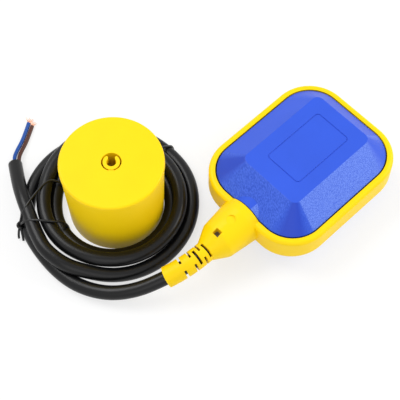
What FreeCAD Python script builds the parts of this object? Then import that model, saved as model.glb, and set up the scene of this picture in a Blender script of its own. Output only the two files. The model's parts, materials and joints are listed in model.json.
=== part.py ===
import FreeCAD, Part
import math
import os
import Sketcher
from FreeCAD import Placement, Rotation, Vector

doc = FreeCAD.newDocument("cable_float_switch")
sizes = doc.addObject("Spreadsheet::Sheet", "sizes")

# Driving sizes in millimetres and degrees: alias, value, note.
# The float lies flat: +X runs from the cable end to the nose, +Z is up,
# and the origin is the middle of the face that it rests on.
DRIVING = [
    ("cable_size", 8.5, "outer diameter of the sheathed cable"),
    ("running_gap", 0.1, "radial clearance of a piece in its bore"),
    ("band_length", 99.3, "yellow band round the float, along X"),
    ("band_width", 81.9, "yellow band, along Y"),
    ("band_corner", 24.5, "outer corner radius of the band in plan"),
    ("band_wall", 3.85, "wall of the band"),
    ("band_top", 30.5, "upper edge of the band"),
    ("band_foot", 12.5, "lower edge of the band"),
    ("band_top_round", 2.4, "rounding of the upper outer edge"),
    ("band_foot_round", 3.6, "rounding of the lower outer edge"),
    ("ledge_top", 24.0, "upper face of the ledge inside the band"),
    ("ledge_foot", 19.0, "lower face of the ledge inside the band"),
    ("ledge_depth", 2.6, "how far the ledge stands into the float"),
    ("cover_gap", 0.9, "gap between cover and band"),
    ("cover_wall", 2.4, "wall of a blue cover"),
    ("roof_height", 41.5, "flat roof of the upper cover"),
    ("roof_length", 62.6, "flat roof, along X"),
    ("roof_width", 42.2, "flat roof, along Y"),
    ("roof_corner", 4.0, "corner radius of the flat roof"),
    ("roof_shift", 3.1, "the flat roof lies nearer the nose by this"),
    ("roof_edge_round", 0.7, "rounding of the edge round the roof"),
    ("panel_length", 42.7, "engraved frame on the roof, along X"),
    ("panel_width", 25.2, "engraved frame, along Y"),
    ("panel_corner", 2.5, "corner radius of the engraved frame"),
    ("panel_shift", 4.2, "place of the engraved frame along X"),
    ("panel_line", 0.7, "width of the engraved line"),
    ("panel_depth", 0.35, "depth of the engraved line"),
    ("axis_height", 21.5, "height of the neck's axis"),
    ("neck_radius", 13.7, "neck where it leaves the band"),
    ("neck_root_at", 51.0, "end of the neck's straight root, from the middle"),
    ("shoulder_radius", 11.65, "neck at its shoulder"),
    ("shoulder_at", 68.0, "shoulder of the neck, from the middle"),
    ("neck_end_radius", 6.5, "neck where the strain relief starts"),
    ("neck_end_at", 77.4, "end of the neck, from the middle"),
    ("shoulder_round", 4.0, "rounding of the shoulder"),
    ("bump_length", 6.5, "half-round bump on a cover, in line with the neck"),
    ("chamber_radius", 7.1, "cable chamber inside the neck"),
    ("chamber_end_at", 71.6, "end of the cable chamber, from the middle"),
    ("window_at", 68.2, "inspection window in the neck, from the middle"),
    ("window_length", 3.8, "inspection window along X"),
    ("window_width", 4.1, "inspection window along Y"),
    ("mark_at", 57.5, "round moulding mark on the neck, from the middle"),
    ("mark_size", 5.6, "diameter of the round moulding mark"),
    ("mark_depth", 0.5, "depth of the round moulding mark at its middle"),
    ("seal_height", 2.0, "height of a cover seal"),
    ("seal_recess", 1.5, "how far a seal lies inside the band's edge"),
    ("relief_radius", 6.35, "outside of the strain relief"),
    ("relief_length", 26.8, "strain relief along its curved axis"),
    ("relief_turn", 30.0, "how far the strain relief bends"),
    ("relief_lean", 48.0, "bending plane, from straight down towards +Y"),
    ("spigot_radius", 5.3, "spigot of the strain relief in the neck"),
    ("spigot_length", 5.6, "length of that spigot"),
    ("slot_roll", 18.0, "slots turned from the top towards -Y"),
    ("slot_pitch", 6.13, "distance between like slots"),
    ("slot_first", 2.4, "first side slot, from the neck along the axis"),
    ("long_slot_wide", 1.6, "width of the long top slots"),
    ("side_slot_wide", 1.35, "width of the side slots"),
    ("long_slot_reach", 4.5, "half length of a long slot across the tube"),
    ("bridge_half", 2.3, "half width of the bridge between side slots"),
    ("lock_radius", 6.9, "grey cable lock in the neck"),
    ("lock_length", 6.4, "cable lock along X"),
    ("potting_length", 10.0, "sealing resin behind the cable lock"),
    ("sheath_end_at", 55.0, "end of the cable sheath in the neck"),
    ("core_size", 2.3, "diameter of an insulated conductor"),
    ("box_left", 31.0, "switch box towards the neck, from the middle"),
    ("box_right", 34.0, "switch box towards the nose, from the middle"),
    ("box_width", 35.0, "switch box along Y"),
    ("box_foot", 5.6, "underside of the switch box"),
    ("box_top", 34.0, "upper edge of the switch box"),
    ("box_wall", 2.0, "wall of the switch box"),
    ("box_corner", 4.0, "outer corner radius of the switch box"),
    ("lid_thick", 2.0, "lid of the switch box"),
    ("lid_lip", 1.6, "lip of the lid inside the box"),
    ("lip_gap", 0.15, "clearance round that lip"),
    ("inlet_height", 9.6, "height of the conductors where they enter the box"),
    ("blue_inlet", -2.75, "blue conductor's inlet, along Y"),
    ("brown_inlet", -5.6, "brown conductor's inlet, along Y"),
    ("post_radius", 2.6, "posts that hold the box in the covers"),
    ("post_x", 22.0, "posts from the middle of the box, along X"),
    ("post_y", 11.0, "posts from the middle line, along Y"),
    ("ball_radius", 9.0, "steel ball"),
    ("pivot_x", 10.0, "rocker pin, along X"),
    ("pivot_z", 11.0, "height of the rocker pin"),
    ("pivot_radius", 1.2, "rocker pin"),
    ("pivot_fit", 0.08, "radial clearance of the pin in the rocker"),
    ("tray_left", 10.0, "end of the rocker tray towards the neck"),
    ("tray_right", 29.0, "end of the rocker tray towards the nose"),
    ("tray_half", 10.8, "half width of the rocker tray"),
    ("tray_foot", 13.0, "underside of the rocker tray"),
    ("tray_floor", 1.6, "floor of the rocker tray"),
    ("tray_wall", 1.4, "walls of the rocker tray"),
    ("tray_top", 21.0, "upper edge of the tray's walls"),
    ("arm_height", 23.9, "underside of the rocker's arm"),
    ("arm_thick", 1.6, "thickness of the rocker's arm"),
    ("arm_reach", 18.5, "tip of the rocker's arm, from the middle"),
    ("arm_half", 4.0, "half width of the rocker's arm"),
    ("pad_radius", 0.9, "rounded pad under the arm"),
    ("press_x", 15.0, "plunger and pad, from the middle"),
    ("ear_half", 5.0, "inner face of the rocker's pin ears"),
    ("ear_thick", 3.0, "thickness of a pin ear"),
    ("ear_radius", 2.5, "outside of a pin ear"),
    ("pin_half", 15.0, "half length of the rocker pin"),
    ("bracket_gap", 0.6, "side play of the rocker between the brackets"),
    ("micro_left", 28.6, "microswitch towards the neck, from the middle"),
    ("micro_right", 11.6, "microswitch towards the nose, from the middle"),
    ("micro_half", 3.2, "half width of the microswitch"),
    ("micro_foot", 11.6, "underside of the microswitch"),
    ("micro_top", 21.2, "top of the microswitch"),
    ("micro_wall", 1.0, "walls of the microswitch"),
    ("plunger_radius", 1.2, "plunger of the microswitch"),
    ("plunger_gap", 0.2, "radial clearance of the plunger"),
    ("plunger_top", 22.7, "top of the plunger at rest"),
    ("plunger_foot", 16.6, "foot of the plunger at rest"),
    ("blade_height", 14.5, "snap blade in the microswitch"),
    ("blade_thick", 0.3, "thickness of the snap blade"),
    ("terminal_thick", 0.5, "thickness of a terminal"),
    ("terminal_half", 1.6, "half width of a terminal"),
    ("terminal_foot", 8.3, "lower end of a terminal"),
    ("terminal_pitch", 6.4, "distance between terminals"),
    ("terminal_inset", 2.2, "first terminal from the end of the microswitch"),
    ("screw_radius", 1.0, "screws of the microswitch"),
    ("screw_head", 1.7, "heads of those screws"),
    ("screw_first", 2.3, "first screw from the end of the microswitch"),
    ("screw_pitch", 6.8, "distance between the screws"),
    ("screw_drop", 2.6, "screws below the top of the microswitch"),
    ("screw_grip", 6.0, "length of a screw in the box's rib"),
    ("micro_cover", 0.8, "side plate of the microswitch"),
    ("weight_x", -87.9, "counterweight, along X"),
    ("weight_y", 65.2, "counterweight, along Y"),
    ("weight_foot_radius", 28.0, "counterweight at its foot"),
    ("weight_draft", 2.0, "how much wider the counterweight is at its lid"),
    ("weight_height", 54.0, "height of the counterweight"),
    ("weight_wall", 2.2, "wall of the counterweight shell"),
    ("weight_floor", 2.6, "floor of the counterweight shell"),
    ("lid_rim", 3.2, "rim of the counterweight lid"),
    ("lid_round", 1.3, "rounding of the lid's upper edge"),
    ("weight_lid_thick", 2.4, "plate of the counterweight lid"),
    ("lid_spigot", 4.0, "spigot of the lid inside the shell"),
    ("groove_depth", 0.35, "groove under the lid's rim"),
    ("eye_radius", 5.8, "cable hole through the counterweight"),
    ("sleeve_wall", 1.8, "sleeve round the cable hole"),
    ("clip_radius", 4.85, "outside of the break-off cable clip"),
    ("clip_bore", 2.8, "bore of the cable clip"),
    ("clip_mouth", 3.9, "mouth of the cable clip"),
    ("clip_height", 4.4, "height of the cable clip"),
    ("clip_bridge", 2.8, "bridge that holds the clip until it is broken off"),
    ("clip_turn", -133.75, "direction of that bridge in plan, in degrees"),
    ("ballast_gap", 1.2, "clearance of the ballast inside the foot of the shell"),
    ("ballast_height", 17.0, "height of the ballast"),
    ("coil_x", -89.8, "middle of the cable coil, along X"),
    ("coil_y", 66.6, "middle of the cable coil, along Y"),
    ("inner_turn", 34.9, "radius of the inner turn on the floor"),
    ("upper_turn", 38.9, "radius of the upper turn"),
    ("upper_turn_height", 11.7, "height of the upper turn's middle"),
    ("outer_turn", 47.5, "radius of the outer turn on the floor"),
    ("tie_size", 1.4, "wire of the coil ties"),
    ("knot_radius", 1.6, "knot of the coil tie"),
    ("strand_size", 0.3, "bare copper strand"),
]
for row, (alias, number, note) in enumerate(DRIVING, start=1):
    sizes.set("A%d" % row, alias)
    sizes.set("B%d" % row, str(number))
    sizes.set("C%d" % row, note)
    sizes.setAlias("B%d" % row, alias)

# Sizes that the sheet works out: alias, formula, note.
LINKED = [
    ("weight_radius", "weight_foot_radius + weight_draft", "counterweight at its lid"),
    ("ballast_radius", "weight_foot_radius - weight_wall - ballast_gap", "cast iron ballast"),
    ("common_at", "micro_left - terminal_inset", "common terminal, from the middle"),
    ("open_at", "micro_left - terminal_inset - terminal_pitch", "open terminal, from the middle"),
]
for row, (alias, formula, note) in enumerate(LINKED, start=len(DRIVING) + 1):
    sizes.set("A%d" % row, alias)
    sizes.set("B%d" % row, "=" + formula)
    sizes.set("C%d" % row, note)
    sizes.setAlias("B%d" % row, alias)
doc.recompute()


def size(alias):
    return float(getattr(sizes, alias))


def value(expression):
    result = sizes.evalExpression(expression)
    return float(getattr(result, "Value", result))


# Sizes that follow from the driving ones, as expressions on the sheet.
BORE_LENGTH = "(sizes.band_length - 2 * sizes.band_wall)"
BORE_WIDTH = "(sizes.band_width - 2 * sizes.band_wall)"
BORE_CORNER = "(sizes.band_corner - sizes.band_wall)"
COVER_LENGTH = "(%s - 2 * sizes.cover_gap)" % BORE_LENGTH
COVER_WIDTH = "(%s - 2 * sizes.cover_gap)" % BORE_WIDTH
COVER_CORNER = "(%s - sizes.cover_gap)" % BORE_CORNER
CABLE_RADIUS = "(sizes.cable_size / 2)"
CABLE_BORE = "(sizes.cable_size / 2 + sizes.running_gap)"
BOX_MIDDLE = "((sizes.box_right - sizes.box_left) / 2)"
BOX_LENGTH = "(sizes.box_right + sizes.box_left)"
BOX_FLOOR = "(sizes.box_foot + sizes.box_wall)"
BOX_ROOF = "(sizes.box_top + sizes.lid_thick)"
TRAY_DECK = "(sizes.tray_foot + sizes.tray_floor)"
LID_UNDER = "(sizes.weight_height - sizes.lid_rim)"


def new_body(name):
    body = doc.addObject("PartDesign::Body", name)
    body.Label = name
    return body


def origin_item(body, role):
    for item in body.Origin.OriginFeatures:
        if item.Role == role:
            return item
    raise ValueError("no origin item " + role)


def new_sketch(body, name, role="XY_Plane", lift=None, shift=None):
    """A sketch on a plane of the body's own origin; lift is along its normal, shift along its Y."""
    sketch = body.newObject("Sketcher::SketchObject", name)
    sketch.AttachmentSupport = [(origin_item(body, role), "")]
    sketch.MapMode = "FlatFace"
    if lift is not None:
        sketch.setExpression("AttachmentOffset.Base.z", lift)
    if shift is not None:
        sketch.setExpression("AttachmentOffset.Base.y", shift)
    return sketch


def bound(sketch, constraint, expression):
    index = sketch.addConstraint(constraint)
    label = "Size%d" % index
    sketch.renameConstraint(index, label)
    sketch.setExpression("Constraints." + label, expression)


def place_point(sketch, geometry, end, x, y):
    if x == "0":
        sketch.addConstraint(Sketcher.Constraint("PointOnObject", geometry, end, -2))
    else:
        bound(sketch, Sketcher.Constraint("DistanceX", -1, 1, geometry, end, value(x)), x)
    if y == "0":
        sketch.addConstraint(Sketcher.Constraint("PointOnObject", geometry, end, -1))
    else:
        bound(sketch, Sketcher.Constraint("DistanceY", -1, 1, geometry, end, value(y)), y)


def draw_polygon(sketch, corners):
    """A closed outline through corners, each a pair of expressions."""
    points = [Vector(value(x), value(y), 0) for x, y in corners]
    count = len(points)
    lines = []
    for i in range(count):
        lines.append(sketch.addGeometry(Part.LineSegment(points[i], points[(i + 1) % count])))
    for i in range(count):
        sketch.addConstraint(Sketcher.Constraint("Coincident", lines[i], 2, lines[(i + 1) % count], 1))
    for line, (x, y) in zip(lines, corners):
        place_point(sketch, line, 1, x, y)


def draw_rectangle(sketch, left, right, foot, top):
    draw_polygon(sketch, [(left, foot), (right, foot), (right, top), (left, top)])


def draw_circle(sketch, x, y, radius):
    middle = Vector(value(x), value(y), 0)
    circle = sketch.addGeometry(Part.Circle(middle, Vector(0, 0, 1), value(radius)))
    bound(sketch, Sketcher.Constraint("Radius", circle, value(radius)), radius)
    place_point(sketch, circle, 3, x, y)


def draw_rounded(sketch, length, width, corner, middle="0"):
    """A rectangle with round corners, centred on the X axis at middle."""
    half_x, half_y, r = value(length) / 2, value(width) / 2, value(corner)
    x0 = value(middle)
    z_axis = Vector(0, 0, 1)
    lines = []
    for x1, y1, x2, y2 in ((x0 - half_x + r, half_y, x0 + half_x - r, half_y),
                           (x0 + half_x, half_y - r, x0 + half_x, -half_y + r),
                           (x0 + half_x - r, -half_y, x0 - half_x + r, -half_y),
                           (x0 - half_x, -half_y + r, x0 - half_x, half_y - r)):
        lines.append(sketch.addGeometry(Part.LineSegment(Vector(x1, y1, 0), Vector(x2, y2, 0))))
    arcs = []
    for x, y, start in ((x0 + half_x - r, half_y - r, 0), (x0 + half_x - r, -half_y + r, 270),
                        (x0 - half_x + r, -half_y + r, 180), (x0 - half_x + r, half_y - r, 90)):
        circle = Part.Circle(Vector(x, y, 0), z_axis, r)
        arcs.append(sketch.addGeometry(Part.ArcOfCircle(circle, math.radians(start),
                                                        math.radians(start + 90))))
    for i in range(4):
        sketch.addConstraint(Sketcher.Constraint("Tangent", lines[i], 2, arcs[i], 2))
        sketch.addConstraint(Sketcher.Constraint("Tangent", arcs[i], 1, lines[(i + 1) % 4], 1))
    for arc in arcs[1:]:
        sketch.addConstraint(Sketcher.Constraint("Equal", arcs[0], arc))
    sketch.addConstraint(Sketcher.Constraint("Horizontal", lines[0]))
    sketch.addConstraint(Sketcher.Constraint("Horizontal", lines[2]))
    sketch.addConstraint(Sketcher.Constraint("Vertical", lines[1]))
    sketch.addConstraint(Sketcher.Constraint("Vertical", lines[3]))
    bound(sketch, Sketcher.Constraint("Radius", arcs[0], r), corner)
    right = "%s / 2 + %s" % (length, middle)
    left = "%s / 2 - %s" % (length, middle)
    bound(sketch, Sketcher.Constraint("DistanceX", -1, 1, lines[1], 1, value(right)), right)
    bound(sketch, Sketcher.Constraint("DistanceX", lines[3], 1, -1, 1, value(left)), left)
    bound(sketch, Sketcher.Constraint("DistanceY", -1, 1, lines[0], 1, value(width) / 2), width + " / 2")
    bound(sketch, Sketcher.Constraint("DistanceY", lines[2], 1, -1, 1, value(width) / 2), width + " / 2")


def extrude(body, kind, name, sketch, length, both=False, reverse=False):
    """Pad or Pocket of a sketch; a Pocket has to take material away."""
    before = body.Shape.Volume if body.Tip else 0.0
    feature = body.newObject("PartDesign::" + kind, name)
    feature.Profile = sketch
    feature.Type = 0
    feature.setExpression("Length", length)
    if both:
        feature.SideType = "Symmetric"
    feature.Reversed = reverse
    doc.recompute()
    change = body.Shape.Volume - before
    if (kind == "Pocket") != (change < 0):
        raise ValueError("%s %s changes nothing" % (body.Label, name))
    return feature


def turn(body, kind, name, sketch, axis="H_Axis"):
    """Revolution or Groove about one of the sketch's own axes."""
    before = body.Shape.Volume if body.Tip else 0.0
    feature = body.newObject("PartDesign::" + kind, name)
    feature.Profile = sketch
    feature.ReferenceAxis = (sketch, [axis])
    feature.Angle = 360.0
    doc.recompute()
    change = body.Shape.Volume - before
    if (kind == "Groove") != (change < 0):
        raise ValueError("%s %s changes nothing" % (body.Label, name))
    return feature


def loft(body, kind, name, sketches):
    feature = body.newObject("PartDesign::" + kind, name)
    feature.Profile = sketches[0]
    feature.Sections = sketches[1:]
    feature.Ruled = True
    doc.recompute()
    return feature


def round_edges(body, name, radius, chosen):
    """A fillet on those edges of the body that chosen(edge) picks."""
    base = body.Tip
    names = ["Edge%d" % (i + 1) for i, edge in enumerate(base.Shape.Edges) if chosen(edge)]
    if not names:
        raise ValueError("%s %s finds no edge" % (body.Label, name))
    feature = body.newObject("PartDesign::Fillet", name)
    feature.Base = (base, names)
    feature.setExpression("Radius", radius)
    doc.recompute()
    return feature


def at_height(edge, height):
    box = edge.BoundBox
    return abs(box.ZMin - height) < 0.02 and abs(box.ZMax - height) < 0.02


# Yellow band with its neck
def make_band_and_neck():
    body = new_body("float_frame")
    outline = new_sketch(body, "BandOutline", lift="sizes.band_foot")
    draw_rounded(outline, "sizes.band_length", "sizes.band_width", "sizes.band_corner")
    extrude(body, "Pad", "Band", outline, "sizes.band_top - sizes.band_foot")
    round_edges(body, "UpperRound", "sizes.band_top_round", lambda e: at_height(e, size("band_top")))
    round_edges(body, "LowerRound", "sizes.band_foot_round", lambda e: at_height(e, size("band_foot")))

    inner_end = "-(%s / 2 - sizes.ledge_depth)" % BORE_LENGTH
    profile = new_sketch(body, "NeckProfile", "XZ_Plane", shift="sizes.axis_height")
    draw_polygon(profile, [(inner_end, "0"), (inner_end, "sizes.neck_radius"),
                           ("-sizes.neck_root_at", "sizes.neck_radius"),
                           ("-sizes.shoulder_at", "sizes.shoulder_radius"),
                           ("-sizes.neck_end_at", "sizes.neck_end_radius"),
                           ("-sizes.neck_end_at", "0")])
    turn(body, "Revolution", "Neck", profile)

    def on_shoulder(edge):
        box = edge.BoundBox
        return abs(box.XMin + size("shoulder_at")) < 0.01 and abs(box.XMax + size("shoulder_at")) < 0.01

    round_edges(body, "ShoulderRound", "sizes.shoulder_round", on_shoulder)

    # The covers sit in these two recesses, on the ledge between them
    for name, start, depth, reverse in (
            ("UpperRecess", "sizes.ledge_top", "sizes.neck_radius + sizes.band_top", True),
            ("LowerRecess", "sizes.ledge_foot", "sizes.neck_radius + sizes.ledge_foot", False)):
        recess = new_sketch(body, name + "Outline", lift=start)
        draw_rounded(recess, BORE_LENGTH, BORE_WIDTH, BORE_CORNER)
        extrude(body, "Pocket", name, recess, depth, reverse=reverse)
    opening = new_sketch(body, "LedgeOpeningOutline", lift="sizes.ledge_foot")
    draw_rounded(opening, "(%s - 2 * sizes.ledge_depth)" % BORE_LENGTH,
                 "(%s - 2 * sizes.ledge_depth)" % BORE_WIDTH, "(%s - sizes.ledge_depth)" % BORE_CORNER)
    extrude(body, "Pocket", "LedgeOpening", opening, "sizes.ledge_top - sizes.ledge_foot + 1", reverse=True)

    # Cable chamber, and the narrower seat of the strain relief's spigot
    bore = new_sketch(body, "ChamberProfile", "XZ_Plane", shift="sizes.axis_height")
    seat = "(sizes.spigot_radius + sizes.running_gap)"
    draw_polygon(bore, [("-sizes.neck_end_at - 1", "0"), ("-sizes.neck_end_at - 1", seat),
                        ("-sizes.chamber_end_at", seat), ("-sizes.chamber_end_at", "sizes.chamber_radius"),
                        (inner_end + " + 1", "sizes.chamber_radius"), (inner_end + " + 1", "0")])
    turn(body, "Groove", "Chamber", bore)

    window = new_sketch(body, "WindowOutline", lift="sizes.axis_height")
    draw_rectangle(window, "-sizes.window_at - sizes.window_length / 2",
                   "-sizes.window_at + sizes.window_length / 2",
                   "-sizes.window_width / 2", "sizes.window_width / 2")
    extrude(body, "Pocket", "Window", window, "sizes.neck_radius + 1", reverse=True)

    # Height of the neck's top line where the round mark is
    slope = "((sizes.neck_radius - sizes.shoulder_radius) / (sizes.shoulder_at - sizes.neck_root_at))"
    mark_floor = ("sizes.axis_height + sizes.neck_radius"
                  " - (sizes.mark_at - sizes.neck_root_at) * %s - sizes.mark_depth" % slope)
    mark = new_sketch(body, "MarkOutline", lift=mark_floor)
    draw_circle(mark, "-sizes.mark_at", "0", "sizes.mark_size / 2")
    extrude(body, "Pocket", "Mark", mark, "sizes.mark_depth + 2", reverse=True)
    return body


# Blue covers: each is a skirt in the band, a rim, and a smaller flat roof joined by sloping sides
def make_cover(name, side):
    upper = side > 0
    seam = "sizes.ledge_top" if upper else "sizes.ledge_foot"
    past_seam = "(sizes.ledge_top - 1)" if upper else "(sizes.ledge_foot + 1)"
    rim = "sizes.band_top" if upper else "sizes.band_foot"
    roof = "sizes.roof_height" if upper else "0 * sizes.roof_height"
    under_roof = "(sizes.roof_height - sizes.cover_wall)" if upper else "sizes.cover_wall"
    body = new_body(name)

    def section(label, height, length, width, corner, middle="0"):
        sketch = new_sketch(body, label, lift=height)
        draw_rounded(sketch, length, width, corner, middle)
        return sketch

    outside = [section("Skirt", seam, COVER_LENGTH, COVER_WIDTH, COVER_CORNER),
               section("Rim", rim, COVER_LENGTH, COVER_WIDTH, COVER_CORNER),
               section("Roof", roof, "sizes.roof_length", "sizes.roof_width", "sizes.roof_corner",
                       "sizes.roof_shift")]
    loft(body, "AdditiveLoft", "Outside", outside)

    thin = "2 * sizes.cover_wall"
    inside = [section("SkirtInside", past_seam, "(%s - %s)" % (COVER_LENGTH, thin),
                      "(%s - %s)" % (COVER_WIDTH, thin), "(%s - sizes.cover_wall)" % COVER_CORNER),
              section("RimInside", rim, "(%s - %s)" % (COVER_LENGTH, thin),
                      "(%s - %s)" % (COVER_WIDTH, thin), "(%s - sizes.cover_wall)" % COVER_CORNER),
              section("RoofInside", under_roof, "(sizes.roof_length - sizes.cover_wall)",
                      "(sizes.roof_width - sizes.cover_wall)", "(sizes.roof_corner - sizes.cover_wall / 2)",
                      "sizes.roof_shift")]
    loft(body, "SubtractiveLoft", "Inside", inside)

    # Half-round bump that carries the neck's line on over the cover
    bump = new_sketch(body, "BumpOutline", "YZ_Plane", lift="-%s / 2" % COVER_LENGTH)
    radius = "(sizes.neck_radius - sizes.cover_gap)"
    chord = "(sizes.band_top - 1)" if upper else "(sizes.band_foot + 1)"
    reach = math.sqrt(value(radius) ** 2 - (value(chord) - size("axis_height")) ** 2)
    middle = Vector(0, size("axis_height"), 0)
    circle = Part.Circle(middle, Vector(0, 0, 1), value(radius))
    angle = math.atan2(value(chord) - size("axis_height"), reach)
    ends = (angle, math.pi - angle) if upper else (math.pi - angle, 2 * math.pi + angle)
    arc = bump.addGeometry(Part.ArcOfCircle(circle, *ends))
    line = bump.addGeometry(Part.LineSegment(Vector(-reach if upper else reach, value(chord), 0),
                                             Vector(reach if upper else -reach, value(chord), 0)))
    bump.addConstraint(Sketcher.Constraint("Coincident", arc, 2, line, 1))
    bump.addConstraint(Sketcher.Constraint("Coincident", line, 2, arc, 1))
    bump.addConstraint(Sketcher.Constraint("Horizontal", line))
    bound(bump, Sketcher.Constraint("Radius", arc, value(radius)), radius)
    place_point(bump, arc, 3, "0", "sizes.axis_height")
    bound(bump, Sketcher.Constraint("DistanceY", -1, 1, line, 1, value(chord)), chord)
    extrude(body, "Pad", "Bump", bump, "sizes.bump_length")

    # Posts that hold the switch box
    foot, length = ((BOX_ROOF, "(%s - %s + 0.3)" % (under_roof, BOX_ROOF)) if upper
                    else ("(%s - 0.3)" % under_roof, "(sizes.box_foot - %s + 0.3)" % under_roof))
    posts = new_sketch(body, "PostOutline", lift=foot)
    for x in ("(%s - sizes.post_x)" % BOX_MIDDLE, "(%s + sizes.post_x)" % BOX_MIDDLE):
        for y in ("-sizes.post_y", "sizes.post_y"):
            draw_circle(posts, x, y, "sizes.post_radius")
    extrude(body, "Pad", "Posts", posts, length)
    round_edges(body, "RoofRound", "sizes.roof_edge_round", lambda e: at_height(e, value(roof)))

    if upper:
        panel = new_sketch(body, "PanelLine", lift=roof)
        draw_rounded(panel, "sizes.panel_length", "sizes.panel_width", "sizes.panel_corner",
                     "sizes.panel_shift")
        draw_rounded(panel, "(sizes.panel_length - 2 * sizes.panel_line)",
                     "(sizes.panel_width - 2 * sizes.panel_line)",
                     "(sizes.panel_corner - sizes.panel_line)", "sizes.panel_shift")
        extrude(body, "Pocket", "Panel", panel, "sizes.panel_depth")
    return body


def make_seal(name, foot):
    body = new_body(name)
    outline = new_sketch(body, "SealOutline", lift=foot)
    draw_rounded(outline, BORE_LENGTH, BORE_WIDTH, BORE_CORNER)
    draw_rounded(outline, COVER_LENGTH, COVER_WIDTH, COVER_CORNER)
    extrude(body, "Pad", "Seal", outline, "sizes.seal_height")
    return body


# Strain relief: a tube bent about its own Z axis, with staggered slots
BEND_RADIUS = "(sizes.relief_length / (sizes.relief_turn * pi / 180))"


def relief_placement():
    lean = math.radians(size("relief_lean"))
    inward = Vector(0, math.sin(lean), -math.cos(lean))
    along = Vector(-1, 0, 0)
    rotation = Rotation(-inward, along, (-inward).cross(along), "XYZ")
    start = Vector(-size("neck_end_at"), 0, size("axis_height"))
    return Placement(start + inward * value_of_bend(), rotation)


def value_of_bend():
    return value(BEND_RADIUS)


def make_strain_relief():
    body = new_body("strain_relief")
    bend = value_of_bend()
    turn_degrees = size("relief_turn")
    tube = new_sketch(body, "TubeSection", "XZ_Plane")
    draw_circle(tube, BEND_RADIUS, "0", "sizes.relief_radius")
    draw_circle(tube, BEND_RADIUS, "0", CABLE_BORE)
    feature = body.newObject("PartDesign::Revolution", "Tube")
    feature.Profile = tube
    feature.ReferenceAxis = (tube, ["V_Axis"])
    feature.setExpression("Angle", "sizes.relief_turn")
    doc.recompute()

    spigot = new_sketch(body, "SpigotSection", "XZ_Plane")
    draw_circle(spigot, BEND_RADIUS, "0", "sizes.spigot_radius")
    draw_circle(spigot, BEND_RADIUS, "0", CABLE_BORE)
    extrude(body, "Pad", "Spigot", spigot, "sizes.spigot_length")

    slots = (("LongSlots", 3, size("slot_first") + size("slot_pitch") / 2, "sizes.long_slot_wide",
              [("-sizes.long_slot_reach", "sizes.long_slot_reach")]),
             ("SideSlots", 4, size("slot_first"), "sizes.side_slot_wide",
              [("-2 * sizes.relief_radius", "-sizes.bridge_half"),
               ("sizes.bridge_half", "2 * sizes.relief_radius")]))
    for name, count, along, wide, spans in slots:
        sketch = new_sketch(body, name + "Outline", "XZ_Plane")
        swing = Placement(Vector(), Rotation(Vector(0, 1, 0), -turn_degrees * along / size("relief_length")))
        shift = Placement(Vector(bend, 0, 0), Rotation())
        roll = Placement(Vector(), Rotation(Vector(0, 0, 1), size("slot_roll") - size("relief_lean") - 90))
        sketch.AttachmentOffset = swing * shift * roll
        for left, right in spans:
            draw_rectangle(sketch, left, right, "-2 * sizes.relief_radius", "2 * sizes.relief_radius")
        cut = extrude(body, "Pocket", name, sketch, wide, both=True)
        pattern = body.newObject("PartDesign::PolarPattern", name + "Row")
        pattern.Originals = [cut]
        pattern.Axis = (origin_item(body, "Z_Axis"), [""])
        pattern.Angle = turn_degrees * size("slot_pitch") * (count - 1) / size("relief_length")
        pattern.Occurrences = count
        body.Tip = pattern
        doc.recompute()
    body.Placement = relief_placement()
    return body


def ring_body(name, left, right, inner, outer, height="sizes.axis_height"):
    """A plain ring about the neck's axis between two places along X."""
    body = new_body(name)
    sketch = new_sketch(body, name + "Profile", "XZ_Plane", shift=height)
    draw_rectangle(sketch, left, right, inner, outer)
    turn(body, "Revolution", "Ring", sketch)
    return body


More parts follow.
